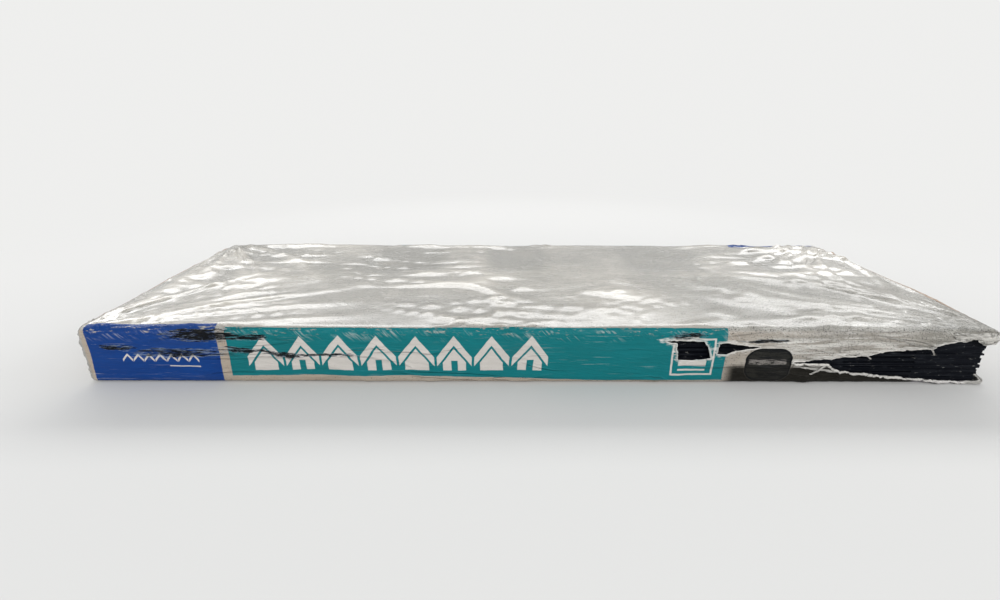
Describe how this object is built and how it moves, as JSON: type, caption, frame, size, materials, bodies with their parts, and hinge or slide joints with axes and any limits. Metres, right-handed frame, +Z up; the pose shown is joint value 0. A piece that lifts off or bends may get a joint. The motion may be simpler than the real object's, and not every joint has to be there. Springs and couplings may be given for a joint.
{
  "type": "asphalt shingle bundle",
  "caption": "Film-wrapped bundle of laminated asphalt roofing shingles, lying flat, with folded ends and a torn front corner that shows the shingle edges.",
  "frame": {"origin": "centre of the bundle's footprint, on the surface that it lies on", "axes": "+X along the bundle's length towards the torn end, +Y across it away from the torn long side, +Z up"},
  "size_m": [0.9952, 0.3444, 0.066],
  "materials": {
    "printed_film": "thin printed polyethylene film, creased and scuffed",
    "asphalt_shingle": "mineral granules set in black asphalt"
  },
  "bodies": {
    "root": {"wrapper": "printed_film", "shingles": "asphalt_shingle"}
  },
  "joints": []
}
